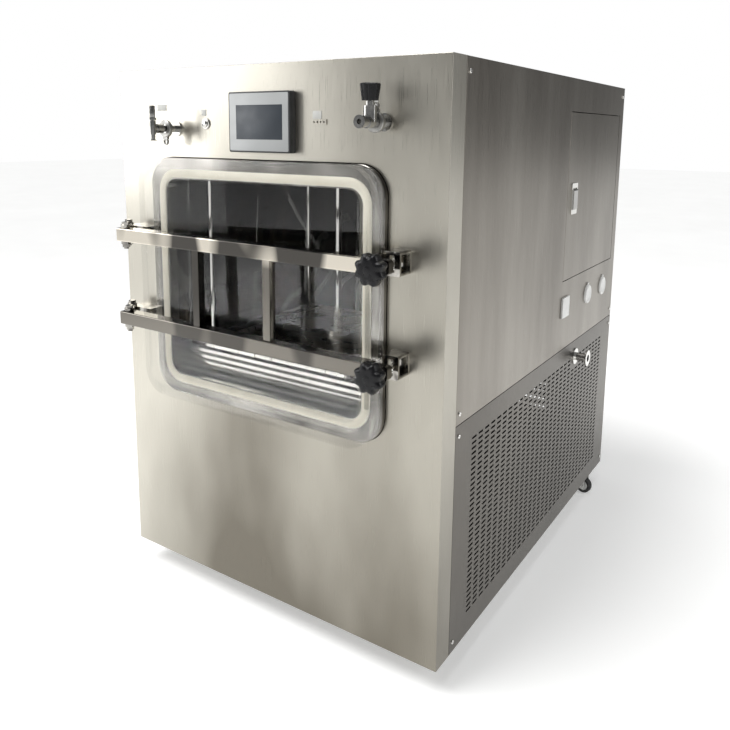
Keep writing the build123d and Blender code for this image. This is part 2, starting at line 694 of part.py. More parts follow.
def valves():
    joint_y = -valve_flange_out - valve_flange_t
    x, z = vent_x, z0 + vent_z
    stem_y = joint_y - vent_stem_out
    body = rod_y(x, joint_y - valve_flange_t, joint_y, z, valve_flange_r)
    body += rod_y(x, stem_y, joint_y, z, 9)
    body += rod_y(x, joint_y - 34, joint_y - 14, z, 13)
    body += rod_z(x, stem_y, z - 16, z + 22, 9)
    body += rod_z(x, stem_y, z - 30, z - 14, nozzle_r)
    body += rod_z(x, stem_y, z - 33, z - 30, 11)
    body -= rod_z(x, stem_y, z - 40, z - 4, nozzle_bore_r)
    body -= rod_z(x, stem_y, z + 6, z + 30, stem_r + valve_fit)
    keep("vent_valve_body", body)
    stem = rod_z(x, stem_y, z + 7, z + 40, stem_r)
    grip = rod_z(x, stem_y, z + 23, z + 62, 8)
    for k in range(12):
        a = math.radians(30.0 * k)
        grip -= rod_z(x + 8.6 * math.cos(a), stem_y + 8.6 * math.sin(a), z + 30, z + 70, 1.3)
    grip += rod_z(x, stem_y, z + 23, z + 29, 11)
    keep("vent_valve_stem", stem + grip)
    x, z = charge_x, z0 + charge_z
    stem_y = joint_y - charge_stem_out
    body = rod_y(x, joint_y - valve_flange_t, joint_y, z, valve_flange_r)
    body += rod_y(x, joint_y - 62, joint_y, z, 12)
    body += rod_y(x, joint_y - 68, joint_y - 60, z, 15)
    body += rod_y(x, joint_y - 40, joint_y - 8, z, 14.5)
    body += rod_z(x, stem_y, z, z + 36, 16)
    body += rod_z(x, stem_y, z + 36, z + 46, 10)
    body -= rod_y(x, joint_y - 70, joint_y - 48, z, 6)
    body -= rod_z(x, stem_y, z + 24, z + 50, stem_r + valve_fit)
    keep("charge_valve_body", body)
    grip = Pos(x, stem_y, z + 47 + 19) * Cone(19, 25, 38)
    grip = fillet(grip.edges().filter_by(GeomType.CIRCLE).sort_by(Axis.Z)[-1], 2.5)
    for k in range(10):
        a = math.radians(36.0 * k)
        lean = Pos(x + 25.5 * math.cos(a), stem_y + 25.5 * math.sin(a), z + 66) * Cylinder(3.5, 60)
        grip -= lean
    grip += rod_z(x, stem_y, z + 25, z + 50, stem_r)
    keep("charge_valve_knob", grip)
    keep("valve_clamps", clamp_ring(vent_x, z0 + vent_z, -1), clamp_ring(charge_x, z0 + charge_z, 1))
    keep("valve_spigots", spigot(vent_x, z0 + vent_z), spigot(charge_x, z0 + charge_z))


# ---------------------------------------------------------------- electrical cabinet
def electrical_cabinet():
    right = cabinet_w
    y0, y1 = door_y0, door_y1
    za, zb = z0 + door_z0, z0 + door_z1
    leaf = tray_x(right, right - door_hem, y0, y1, za, zb)
    py = y1 - pivot_inset
    px = right - pivot_inset
    ears = span(right - door_hem, right - sheet, y1 - 12, y1 - sheet, za, zb)
    ears -= span(right - door_hem - 1, right, y1 - 14, y1, za + 10, zb - 10)
    leaf += ears
    leaf -= rod_z(px, py, za - 1, za + 9, pivot_r + pivot_fit)
    leaf -= rod_z(px, py, zb - 9, zb + 1, pivot_r + pivot_fit)
    leaf -= span(right - sheet - 1, right + 1, latch_y0 + 5, latch_y0 + latch_w - 5, z0 + latch_z0 + 12,
                 z0 + latch_z0 + latch_h - 12)
    keep("cabinet_door", leaf)
    lip = cabinet_box_lip
    bx1 = right - sheet
    by0, by1 = y0 - door_gap - lip, y1 + door_hinge_gap + lip
    bz0, bz1 = za - door_gap - lip, zb + door_gap + lip
    box = span(bx1 - cabinet_box_d, bx1, by0, by1, bz0, bz1)
    box -= span(bx1 - cabinet_box_d + sheet, bx1 + 1, by0 + sheet, by1 - sheet, bz0 + sheet, bz1 - sheet)
    box += rod_z(px, py, bz0, za + 7, pivot_r)
    box += rod_z(px, py, zb - 7, bz1, pivot_r)
    back = bx1 - cabinet_box_d + sheet
    plate = span(back, back + 3, by0 + 30, by1 - 30, bz0 + 30, bz1 - 30)
    rail_z = [bz0 + z for z in module_rail_zs]
    for z in rail_z:
        plate += span(back + 3, back + 10, by0 + 50, by1 - 50, z - 17, z + 17)
    keep("cabinet_box", box + plate)
    modules = []
    for row, z in enumerate(rail_z):
        y = by0 + 60
        depth = module_depths[row]
        tall = module_heights[row]
        for w in module_rows[row]:
            block = span(back + 10, back + 10 + depth, y, y + w - 2, z - tall / 2, z + tall / 2)
            modules.append(chamfer(block.faces().sort_by(Axis.X)[-1].edges(), 3))
            y += w
    keep("control_modules", *modules)
    ly0, ly1 = latch_y0, latch_y0 + latch_w
    lz0, lz1 = z0 + latch_z0, z0 + latch_z0 + latch_h
    seat = plate_side(right, 4.0, (ly0 + ly1) / 2, (lz0 + lz1) / 2, latch_w, latch_h, 4)
    seat += span(right - 12, right, ly0 + 5.5, ly1 - 5.5, lz0 + 12.5, lz1 - 12.5)
    seat -= span(right - 3, right + 5, ly0 + 7, ly1 - 7, lz0 + 14, lz1 - 14)
    latch_pin_z = lz1 - latch_pin_drop
    seat += Pos(right + 2, (ly0 + ly1) / 2, latch_pin_z) * Rot(90, 0, 0) * Cylinder(latch_pin_r, latch_w - 10)
    keep("latch_seat", seat)
    lever = span(right - 1.5, right + 8, ly0 + 7.5, ly1 - 7.5, lz0 + 14.5, lz1 - 20)
    lever = fillet(lever.edges().filter_by(Axis.Y).sort_by(Axis.X)[-2:], 4)
    lever -= rod_y(right + 2, ly0, ly1, latch_pin_z, latch_pin_r + pivot_fit)
    keep("latch_lever", lever)


def plate_side(x, t, cy, cz, w, h, r):
    """Rounded plate on the right side, standing t proud of x."""
    outline = Plane(origin=(x, cy, cz), x_dir=(0, 1, 0), z_dir=(1, 0, 0)) * RectangleRounded(w, h, r)
    return extrude(outline, t)


# ---------------------------------------------------------------- side fittings
def side_fittings():
    x, y, z = cabinet_w, port_y, z0 + port_z
    port = rod_x(x - port_in, x + port_out, y, z, port_pipe_r)
    port += rod_x(x, x + port_rose_t, y, z, port_rose_r)
    port += rod_x(x + port_out - port_flange_t, x + port_out, y, z, port_flange_r)
    port -= rod_x(x - port_in - 1, x + port_out + 1, y, z, port_bore_r)
    keep("vacuum_port", port)
    caps = []
    for cy in cap_ys:
        cap = rod_x(x, x + cap_t, cy, z0 + cap_z, cap_r)
        cap = fillet(cap.faces().sort_by(Axis.X)[-1].edges(), 4)
        cap += span(x, x + 5, cy - 5, cy + 5, z0 + cap_z + cap_r - 4, z0 + cap_z + cap_r + 7)
        caps.append(cap)
    plate = plate_side(x, plate_t, plate_y, z0 + cap_z, plate_size, plate_size, 4)
    caps.append(chamfer(plate.faces().sort_by(Axis.X)[-1].edges(), 1.5))
    keep("side_covers", *caps)


# ---------------------------------------------------------------- shelves and ram
def shelf_stack():
    names = ("shelf_one", "shelf_two", "shelf_three", "pressing_plate")
    rod_xs = (shelf_cx - shelf_w / 2 + rod_inset_x, shelf_cx + shelf_w / 2 - rod_inset_x)
    rod_ys = (shelf_front_y + rod_inset_y, shelf_front_y + shelf_d - rod_inset_y)
    legs = []
    for name, z in zip(names, shelf_zs):
        plate = span(shelf_cx - shelf_w / 2, shelf_cx + shelf_w / 2, shelf_front_y, shelf_front_y + shelf_d,
                     z, z + shelf_t)
        plate = fillet(plate.edges().filter_by(Axis.Z), shelf_corner_r)
        for x in rod_xs:
            for y in rod_ys:
                plate -= rod_z(x, y, z - 1, z + shelf_t + 1, rod_r + rod_fit)
        if name == "shelf_one":
            for x in rod_xs:
                for y in rod_ys:
                    leg = rod_z(x, y, chamber_z0, z, shelf_leg_r)
                    legs.append(leg - rod_z(x, y, chamber_z0 - 1, z + 1, rod_r + rod_fit))
        if name == "pressing_plate":
            plate += rod_z(shelf_cx, ram_y, z + shelf_t, z + shelf_t + 14, gland_r + 12)
            plate -= rod_z(shelf_cx, ram_y, z + shelf_t + 4, z + shelf_t + 20, ram_r)
            for x in (shelf_cx - rail_x, shelf_cx + rail_x):
                plate += span(x - rail_half, x + rail_half, shelf_front_y + 40, shelf_front_y + shelf_d - 40,
                              z + shelf_t, z + shelf_t + rail_h)
        keep(name, plate, *(legs if name == "shelf_one" else []))
    guides = []
    for x in rod_xs:
        for y in rod_ys:
            guides.append(rod_z(x, y, chamber_z0, chamber_z1, rod_r))
    keep("guide_rods", *guides)
    ram_top = chamber_z1 + 40
    ram = rod_z(shelf_cx, ram_y, plate_top + 4, ram_top, ram_r)
    ram += rod_z(shelf_cx, ram_y, plate_top + 14, plate_top + 50, ram_r + 5)
    ram += rod_z(shelf_cx, ram_y, plate_top + 62, plate_top + 80, ram_r + 3)
    keep("ram_rod", ram)


def hoses():
    """Braided oil hoses from the rear wall ports down to the lowest shelf."""
    lines = []
    shelf_back = shelf_front_y + shelf_d
    wall_y = ring_behind + chamber_d - chamber_wall
    hose_y = shelf_back + hose_behind
    za = shelf_zs[0] + shelf_t / 2
    for side in (-1, 1):
        for k in range(2):
            x0 = shelf_cx + side * (150 + 90 * k)
            x1 = shelf_cx + side * (60 + 70 * k)
            z1 = chamber_z0 + hose_top - 60 * k
            pts = [(x0, shelf_back + hose_fitting, za), (x0, hose_y, za), (x0, hose_y, za + hose_climb),
                   (x1, hose_y, z1 - hose_climb), (x1, hose_y, z1), (x1, wall_y - 16, z1)]
            path = FilletPolyline(*pts, radius=corner_radii(pts))
            plane = Plane(origin=pts[0], z_dir=path % 0)
            lines.append(sweep(plane * Circle(hose_r), path=path).solids()[0])
            lines.append(rod_y(x0, shelf_back, shelf_back + hose_fitting, za, shelf_t / 2))
            lines.append(rod_y(x1, wall_y - 16, wall_y, z1, hose_r + 3))
    keep("oil_hoses", *lines)


def corner_radii(pts):
    """Largest tangent arc that each corner's two runs leave room for."""
    out = []
    last = len(pts) - 2
    for i in range(1, last + 1):
        u = Vector(*pts[i]) - Vector(*pts[i - 1])
        v = Vector(*pts[i + 1]) - Vector(*pts[i])
        before = u.length * (0.9 if i == 1 else 0.45)
        after = v.length * (0.9 if i == last else 0.45)
        turn = math.radians(u.get_angle(v))
        out.append(min(before, after) / math.tan(turn / 2))
    return out


# ---------------------------------------------------------------- machine bay
def machine_bay():
    floor = z0 + tube
    compressor(floor)
    condenser(floor)
    tx, tz = trap_x, z0 + split_h + trap_z
    chamber_back = ring_behind + chamber_d
    trap = rod_y(tx, chamber_back + trap_behind, chamber_back + trap_behind + trap_len, tz, trap_r)
    trap = fillet(trap.edges().filter_by(GeomType.CIRCLE), 30)
    trap += rod_y(tx, chamber_back, chamber_back + trap_behind + 20, tz, trap_neck_r)
    for y in trap_leg_ys:
        trap += span(tx - trap_cradle_half, tx + trap_cradle_half, y - tube / 2, y + tube / 2,
                     z0 + split_h + tube / 2, tz - 100)
    keep("cold_trap", trap)


def compressor(floor):
    cx, cy = compressor_x, compressor_y
    foot_top = floor + compressor_foot_h
    shell = rod_z(cx, cy, foot_top, floor + compressor_top, compressor_r)
    shell = fillet(shell.edges().filter_by(GeomType.CIRCLE), 50)
    for dx in (-compressor_foot_at, compressor_foot_at):
        for dy in (-compressor_foot_at, compressor_foot_at):
            shell += rod_z(cx + dx, cy + dy, floor, foot_top, compressor_foot_r)
    shell += span(cx - compressor_r, cx + compressor_r, cy - compressor_r, cy + compressor_r,
                  foot_top - 4, foot_top + 4)
    shell += rod_x(cx, cx + compressor_outlet, cy, floor + 240, compressor_foot_r)
    keep("compressor", shell)


def condenser(floor):
    fy = condenser_y
    x0, x1 = condenser_x0, condenser_x1
    half = condenser_half_w
    low, high = floor + condenser_low, floor + condenser_high
    rim = condenser_frame
    core = span(x0, x1, fy - half, fy + half, low, high)
    core -= span(x0 - 1, x1 + 1, fy - half + rim, fy + half - rim, low + rim - 2, high - rim + 2)
    first = fy - fin_pitch * (fin_count - 1) / 2
    for k in range(fin_count):
        y = first + k * fin_pitch - fin_t / 2
        core += span(x0 + 6, x1 - 6, y, y + fin_t, low + rim - 4, high - rim + 4)
    for foot in (fy - half, fy + half - 20):
        core += span(x0 - 20, x1 + 20, foot, foot + 20, floor, low + 1)
    hub_z = floor + fan_axis_h
    rim_out = fan_r + 14
    bar_x0 = x1 + guard_depth
    bar_x1 = bar_x0 + guard_bar_t
    guard = rod_x(x1, bar_x0, fy, hub_z, rim_out) - rod_x(x1 - 1, bar_x0 + 1, fy, hub_z, fan_r + 8)
    guard += span(bar_x0, bar_x1, fy - rim_out, fy + rim_out, hub_z - 12, hub_z + 12)
    shroud = span(x1, x1 + 4, fy - half, fy + half, low, high)
    guard += shroud - rod_x(x1 - 1, x1 + 5, fy, hub_z, fan_r + 8)
    guard += rod_x(bar_x1, x1 + 120, fy, hub_z, 42)
    guard -= rod_x(x1 + 40, x1 + 90, fy, hub_z, fan_shaft_r + fan_shaft_fit)
    keep("condenser", core + guard)
    rotor = rod_x(x1 + 12, x1 + 40, fy, hub_z, 36) + rod_x(x1 + 40, x1 + 84, fy, hub_z, fan_shaft_r)
    for k in range(fan_blades):
        blade = Pos(x1 + fan_mid, fy, hub_z) * Rot(360.0 * k / fan_blades, 0, 0)
        rotor += blade * Pos(0, 0, 92) * Rot(0, 0, blade_pitch) * Box(3, blade_chord, blade_span)
    keep("fan_rotor", rotor)


# ---------------------------------------------------------------- casters
def casters():
    plates = []
    spots = {
        "front_left": (frame_x0 + caster_inset_x, frame_y0 + caster_inset_y),
        "front_right": (frame_x1 - caster_inset_x, frame_y0 + caster_inset_y),
        "rear_left": (frame_x0 + caster_inset_x, frame_y1 - caster_inset_y),
        "rear_right": (frame_x1 - caster_inset_x + rear_right_shift[0],
                       frame_y1 - caster_inset_y + rear_right_shift[1]),
    }
    for name, (x, y) in spots.items():
        turn = Pos(x, y, 0) * Rot(0, 0, caster_headings[name])
        plate = span(x - caster_plate / 2, x + caster_plate / 2, y - caster_plate / 2, y + caster_plate / 2,
                     z0 - caster_plate_t, z0)
        plate = fillet(plate.edges().filter_by(Axis.Z), 6)
        plate += rod_z(x, y, z0 - caster_plate_t - 5, z0 - caster_plate_t, kingpin_r)
        plates.append(plate)
        crown_top = z0 - caster_plate_t - 1.0
        crown_low = crown_top - 4.0
        half = wheel_w / 2 + fork_clear
        fork = rod_z(0, 0, crown_low, crown_top, 24)
        fork += span(0, caster_trail + 6, -half - fork_cheek_t, half + fork_cheek_t, crown_low, crown_top)
        fork -= rod_z(0, 0, crown_low - 1, crown_top + 1, kingpin_r + kingpin_fit)
        for side in (-1, 1):
            y0c = side * half
            y1c = side * (half + fork_cheek_t)
            cheek = span(-12, caster_trail + 12, min(y0c, y1c), max(y0c, y1c), wheel_r - 10, crown_low)
            cheek -= span(-13, caster_trail - 14, min(y0c, y1c) - 1, max(y0c, y1c) + 1, 0, crown_low - 14)
            fork += cheek
        fork += rod_y(caster_trail, -half - fork_cheek_t - 3, half + fork_cheek_t + 3, wheel_r, axle_r)
        keep("caster_fork_" + name, turn * fork)
        wheel = rod_y(caster_trail, -wheel_w / 2, wheel_w / 2, wheel_r, wheel_r)
        wheel = fillet(wheel.edges().filter_by(GeomType.CIRCLE), 4)
        wheel -= rod_y(caster_trail, -wheel_w / 2 - 1, -wheel_w / 2 + 3, wheel_r, 20)
        wheel -= rod_y(caster_trail, wheel_w / 2 - 3, wheel_w / 2 + 1, wheel_r, 20)
        wheel += rod_y(caster_trail, -wheel_w / 2, wheel_w / 2, wheel_r, 10)
        wheel -= rod_y(caster_trail, -wheel_w, wheel_w, wheel_r, axle_r + wheel_fit)
        keep("caster_wheel_" + name, turn * wheel)
    keep("caster_plates", *plates)


# ---------------------------------------------------------------- build and write
frame()
side_panels()
front_panel()
rear_and_top()
screws()
chamber()
door()
hinge()
clamps()
touch_screen()
button()
valves()
electrical_cabinet()
side_fittings()
shelf_stack()
hoses()
machine_bay()
casters()

os.makedirs("parts", exist_ok=True)
shift = Pos(-ORIGIN[0], -ORIGIN[1], -ORIGIN[2])
for name, solids in parts.items():
    moved = [shift * s for s in solids]
    shape = moved[0] if len(moved) == 1 else Compound(children=moved)
    export_step(shape, "parts/" + name + ".step")
print(len(parts), "nodes, origin", ORIGIN)
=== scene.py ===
import json
import math

import bpy
import bmesh
from mathutils import Matrix, Vector


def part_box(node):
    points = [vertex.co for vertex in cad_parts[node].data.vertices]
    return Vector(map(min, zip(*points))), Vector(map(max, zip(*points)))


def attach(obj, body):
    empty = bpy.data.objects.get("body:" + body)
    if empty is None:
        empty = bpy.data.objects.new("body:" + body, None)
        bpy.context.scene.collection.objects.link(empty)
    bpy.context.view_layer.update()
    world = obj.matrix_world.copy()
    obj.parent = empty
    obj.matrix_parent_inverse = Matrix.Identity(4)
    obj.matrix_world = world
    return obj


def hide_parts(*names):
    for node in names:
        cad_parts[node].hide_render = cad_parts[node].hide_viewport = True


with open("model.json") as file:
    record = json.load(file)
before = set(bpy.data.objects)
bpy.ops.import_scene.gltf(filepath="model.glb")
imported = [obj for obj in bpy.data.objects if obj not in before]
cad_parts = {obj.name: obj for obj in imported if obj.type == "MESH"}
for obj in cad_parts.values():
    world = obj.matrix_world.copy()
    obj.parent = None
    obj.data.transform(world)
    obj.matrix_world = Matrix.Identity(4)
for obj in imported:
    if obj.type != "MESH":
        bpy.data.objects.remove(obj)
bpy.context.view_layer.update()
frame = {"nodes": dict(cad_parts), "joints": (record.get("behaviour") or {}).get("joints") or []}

panel_lo, panel_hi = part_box("front_panel")


def C(x, y, z):
    """Cabinet millimetres, from the front panel's lower left corner, to metres."""
    return panel_lo + Vector((x, y, z)) / 1000


def mm(value):
    return value / 1000


# ------------------------------------------------------------ shader graph
class Wire:
    """A socket that can be used in sums."""

    def __init__(self, graph, socket):
        self.graph = graph
        self.socket = socket

    def math(self, kind, other=None):
        return self.graph.math(kind, self, other)

    def __add__(self, other):
        return self.math("ADD", other)

    def __sub__(self, other):
        return self.math("SUBTRACT", other)

    def __mul__(self, other):
        return self.math("MULTIPLY", other)


class Graph:
    """Adds nodes to one shader tree and joins them up."""

    def __init__(self, tree):
        self.tree = tree

    def node(self, kind, settings=None, **inputs):
        """Add a node, set its settings and feed its inputs by name."""
        made = self.tree.nodes.new(kind)
        for key, value in (settings or {}).items():
            setattr(made, key, value)
        for key, value in inputs.items():
            self.feed(made.inputs[key.replace("_", " ")], value)
        return made

    def feed(self, socket, value):
        if isinstance(value, Wire):
            self.tree.links.new(value.socket, socket)
        elif value is not None:
            socket.default_value = value

    def out(self, made, name=0):
        return Wire(self, made.outputs[name])

    def math(self, kind, a, b=None):
        made = self.node("ShaderNodeMath", {"operation": kind})
        for socket, value in zip(made.inputs, (a, b)):
            self.feed(socket, value)
        return self.out(made)

    def place(self, scale=(1, 1, 1)):
        """Object coordinates, scaled along each axis."""
        spot = self.node("ShaderNodeTexCoord")
        made = self.node("ShaderNodeMapping", Scale=scale)
        self.feed(made.inputs["Vector"], self.out(spot, "Object"))
        return self.out(made)

    def axes(self):
        """Object coordinates as three separate values."""
        spot = self.node("ShaderNodeSeparateXYZ")
        self.feed(spot.inputs[0], self.place())
        return [self.out(spot, axis) for axis in "XYZ"]

    def noise(self, where, scale, detail=3.0, rough=0.5):
        made = self.node("ShaderNodeTexNoise", Scale=scale, Detail=detail, Roughness=rough, Vector=where)
        return self.out(made, "Fac" if "Fac" in made.outputs else "Factor")

    def ramp(self, value, low, high, to_low=0.0, to_high=1.0):
        made = self.node("ShaderNodeMapRange")
        self.feed(made.inputs["Value"], value)
        for key, v in (("From Min", low), ("From Max", high), ("To Min", to_low), ("To Max", to_high)):
            made.inputs[key].default_value = v
        return self.out(made)

    def mix(self, factor, a, b):
        made = self.node("ShaderNodeMix", {"data_type": "RGBA"})
        self.feed(made.inputs[0], factor)
        self.feed(made.inputs[6], colour(a))
        self.feed(made.inputs[7], colour(b))
        return Wire(self, made.outputs[2])

    def bump(self, height, strength, distance):
        made = self.node("ShaderNodeBump", Strength=strength, Distance=distance, Height=height)
        return self.out(made, "Normal")


def colour(value):
    """A wire as it is, or three numbers with an alpha of one."""
    if isinstance(value, Wire) or value is None:
        return value
    return (*value[:3], 1.0)


def material(name, base, metal=0.0, rough=0.5, **more):
    """A Principled finish; base may be a function of the graph that gives a colour."""
    mat = bpy.data.materials.new(name)
    mat.use_nodes = True
    graph = Graph(mat.node_tree)
    shader = next(n for n in mat.node_tree.nodes if n.type == "BSDF_PRINCIPLED")
    shader.inputs["Metallic"].default_value = metal
    for key, value in (("Base Color", base), ("Roughness", rough)):
        value = value(graph) if callable(value) else value
        graph.feed(shader.inputs[key], colour(value) if key == "Base Color" else value)
    normal = more.pop("normal", None)
    if normal:
        graph.feed(shader.inputs["Normal"], normal(graph))
    for key, value in more.items():
        graph.feed(shader.inputs[key.replace("_", " ")], value(graph) if callable(value) else value)
    return mat


def shade(low, high, scale=2.5, stretch=(1, 1, 1), detail=3.0):
    """Slow drift between two colours over the surface."""
    def build(graph):
        value = graph.noise(graph.place(stretch), scale, detail)
        return graph.mix(graph.ramp(value, 0.3, 0.7), low, high)
    return build


def grain(low, high, scale, stretch=(1, 1, 1)):
    """Roughness that drifts between two values."""
    def build(graph):
        return graph.ramp(graph.noise(graph.place(stretch), scale, 4.0), 0.3, 0.7, low, high)
    return build


def scratch(scale, stretch, strength, depth):
    """Fine relief for the Normal input."""
    def build(graph):
        return graph.bump(graph.noise(graph.place(stretch), scale, 5.0), strength, depth)
    return build


def brushed(name, base, along, rough=(0.26, 0.38)):
    """Steel with fine lines along one axis."""
    lines = [700.0, 700.0, 700.0]
    lines["xyz".index(along)] = 9.0
    return material(name, base, 1.0, grain(rough[0], rough[1], 1.0, lines),
                    normal=scratch(1.0, lines, 0.035, 0.0001))


def along_axis(graph, axis, low, high, to_low=0.0, to_high=1.0):
    """A value that runs from one plane of the machine to another."""
    return graph.ramp(graph.axes()["XYZ".index(axis)], low, high, to_low, to_high)


def front_colours(graph):
    """Brushed sheet with painted reflection: broad patches, paler toward the hinges and brighter toward the
    top.
    """
    # broad patches of painted reflection
    marks = graph.ramp(graph.noise(graph.place((1.0, 1.0, 0.45)), 2.1, 3.0, 0.55), 0.34, 0.66)
    # painted reflection, paler toward the hinges
    pale = along_axis(graph, "X", panel_lo.x, panel_lo.x + 0.42, 0.80, 0.0)
    # painted reflection, brighter toward the top
    high = along_axis(graph, "Z", panel_lo.z, panel_hi.z, -0.22, 0.62)
    return graph.mix(marks * 0.50 + pale + high, (0.175, 0.160, 0.132), (0.570, 0.545, 0.480))


def side_colours(graph):
    """Side sheets with long darker streaks that run up the brushing."""
    marks = graph.ramp(graph.noise(graph.place((1.0, 2.4, 0.35)), 2.2, 3.0, 0.55), 0.32, 0.68)
    return graph.mix(marks, (0.190, 0.172, 0.148), (0.310, 0.288, 0.255))


front_steel = brushed("front brushed steel", front_colours, "z")
side_steel = brushed("side brushed steel", side_colours, "z")
top_steel = brushed("top sheet steel", shade((0.20, 0.19, 0.17), (0.28, 0.26, 0.23), 1.3), "x", (0.62, 0.74))
slotted_steel = brushed("slotted sheet steel", shade((0.095, 0.087, 0.076), (0.150, 0.138, 0.120), 1.6), "z")
frame_steel = brushed("frame steel", shade((0.26, 0.26, 0.25), (0.36, 0.36, 0.34), 1.3), "z", (0.30, 0.45))
vessel_steel = brushed("vessel steel", shade((0.40, 0.39, 0.36), (0.52, 0.51, 0.47), 1.3), "x", (0.14, 0.24))

# metres: how deep the flange colour reaches, how high the painted floor light reaches, and where the painted
# bright middle fades
mouth_depth = 0.03
floor_rise = 0.002
painted_middle_full, painted_middle_gone = 0.250, 0.258


def vessel_colours(graph):
    """Brighter flange at the mouth in dark and light patches of painted reflection; mirror wall behind it
    painted near black as shade, with a painted pool of light on the middle of the floor.
    """
    x, y, z = graph.axes()
    bottom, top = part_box("chamber")
    inside = graph.math("GREATER_THAN", y, bottom.y + mouth_depth)
    shelf_lo, shelf_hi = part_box("shelf_one")
    away = graph.math("ABSOLUTE", x - (shelf_lo.x + shelf_hi.x) / 2)
    on_floor = graph.math("LESS_THAN", z, shelf_lo.z + floor_rise)
    # painted pool of light across the middle of the floor
    painted_floor_light = on_floor * graph.ramp(away, painted_middle_full, painted_middle_gone, 1.0, 0.0)
    # wall colour painted near black as shade
    painted_shade_walls = shade((0.004, 0.003, 0.002), (0.045, 0.034, 0.023), 5.0, (2.2, 1, 0.4))(graph)
    # flange colour: dark and light patches of painted reflection
    rim = shade((0.06, 0.056, 0.050), (0.38, 0.365, 0.34), 6.0, (1, 1, 1), 2.0)(graph)
    return graph.mix(inside, rim, graph.mix(painted_floor_light, painted_shade_walls, (0.80, 0.78, 0.73)))


wall_steel = material("vessel wall steel", vessel_colours, 1.0, grain(0.08, 0.16, 8.0))
shelf_steel = material("shelf steel", shade((0.66, 0.64, 0.60), (0.82, 0.80, 0.75), 5.0), 1.0,
                       grain(0.12, 0.20, 9.0))


def bar_colours(graph):
    """Mirror-polished bars with dark and cream spots of painted reflection; painted reflection also keeps the
    ties and the lower bar darker.
    """
    bottom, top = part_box("clamp_bars")
    # dark and cream spots of painted reflection
    painted_reflection_patches = graph.ramp(graph.noise(graph.place((1.7, 0.4, 0.4)), 3.2, 1.0), 0.45, 0.51)
    # painted reflection: bright only near the top of the upper bar
    upper = along_axis(graph, "Z", top.z - 0.060, top.z - 0.036, 0.16, 1.0)
    return graph.mix(painted_reflection_patches * upper, (0.085, 0.080, 0.073), (0.70, 0.65, 0.56))


def plate_colours(graph):
    """Painted light: a bright middle with a scored channel pattern, between two dark borders."""
    left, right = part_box("pressing_plate")
    centre = (left.x + right.x) / 2
    away = graph.math("ABSOLUTE", graph.axes()[0] - centre)
    # painted light: bright across the middle, dark at both borders
    middle = graph.ramp(away, painted_middle_full, painted_middle_gone, 1.0, 0.0)
    brick = graph.node("ShaderNodeTexBrick", Scale=8.0, Mortar_Size=0.012, Vector=graph.place())
    where = graph.ramp(graph.noise(graph.place(), 5.0, 1.0), 0.46, 0.52)
    lines = graph.out(brick, "Fac") * where
    # painted highlight colour, with the scored lines on it
    bright = graph.mix(lines, (0.86, 0.84, 0.79), (0.24, 0.21, 0.17))
    return graph.mix(middle, (0.035, 0.030, 0.026), bright)


bar_steel = material("bar steel", bar_colours, 1.0, grain(0.05, 0.10, 12.0))
top_plate = material("pressing plate steel", plate_colours, 1.0, grain(0.22, 0.34, 9.0))
polished = material("polished steel", shade((0.74, 0.73, 0.70), (0.82, 0.81, 0.78), 6.0), 1.0,
                    grain(0.05, 0.11, 14.0))
# fittings: dark and light spots of painted reflection in the colour
fitting_steel_painted_reflections = material("fitting steel", shade((0.16, 0.15, 0.14), (0.66, 0.64, 0.59), 34.0), 1.0,
                         grain(0.08, 0.16, 30.0))
dark_chrome = material("dark chrome", shade((0.36, 0.36, 0.35), (0.48, 0.47, 0.45), 20.0), 1.0,
                       grain(0.12, 0.24, 40.0))
gloss_black = material("black gloss plastic", shade((0.004, 0.004, 0.005), (0.010, 0.010, 0.011), 30.0), 0.0,
                       grain(0.22, 0.34, 60.0), Specular_IOR_Level=0.25)
rubber = material("black tyre", shade((0.018, 0.018, 0.019), (0.040, 0.038, 0.036), 60.0), 0.0,
                  grain(0.55, 0.8, 80.0), normal=scratch(300.0, (1, 1, 1), 0.2, 0.0003))
white_plastic = material("white plastic", shade((0.74, 0.74, 0.72), (0.82, 0.82, 0.80), 20.0), 0.0,
                         grain(0.35, 0.5, 60.0))
cream_seal = material("cream seal", shade((0.74, 0.70, 0.58), (0.84, 0.80, 0.69), 12.0), 0.0,
                      grain(0.45, 0.6, 50.0), normal=scratch(220.0, (1, 1, 1), 0.12, 0.0004))
label_paper = material("pale plate", shade((0.50, 0.50, 0.48), (0.58, 0.58, 0.55), 40.0), 0.0,
                       grain(0.4, 0.55, 60.0))
grey_face = material("screen face", shade((0.36, 0.37, 0.37), (0.42, 0.43, 0.43), 8.0), 0.0,
                     grain(0.35, 0.48, 50.0))
dark_case = material("dark case", shade((0.020, 0.021, 0.023), (0.035, 0.036, 0.038), 30.0), 0.0,
                     grain(0.35, 0.5, 50.0))
glass_dark = material("screen glass", shade((0.012, 0.018, 0.027), (0.022, 0.031, 0.042), 9.0), 0.0,
                      grain(0.35, 0.5, 30.0))
cast_alloy = material("cast alloy", shade((0.30, 0.30, 0.29), (0.44, 0.43, 0.41), 40.0), 1.0,
                      grain(0.35, 0.55, 90.0), normal=scratch(400.0, (1, 1, 1), 0.25, 0.0004))
machine_black = material("black enamel", shade((0.020, 0.020, 0.022), (0.040, 0.040, 0.043), 12.0), 0.0,
                         grain(0.3, 0.5, 40.0))
module_grey = material("module grey", shade((0.26, 0.28, 0.30), (0.36, 0.38, 0.39), 25.0), 0.0,
                       grain(0.4, 0.6, 60.0))
zinc = material("zinc plate", shade((0.52, 0.52, 0.50), (0.66, 0.65, 0.62), 50.0), 1.0,
                grain(0.28, 0.42, 60.0))


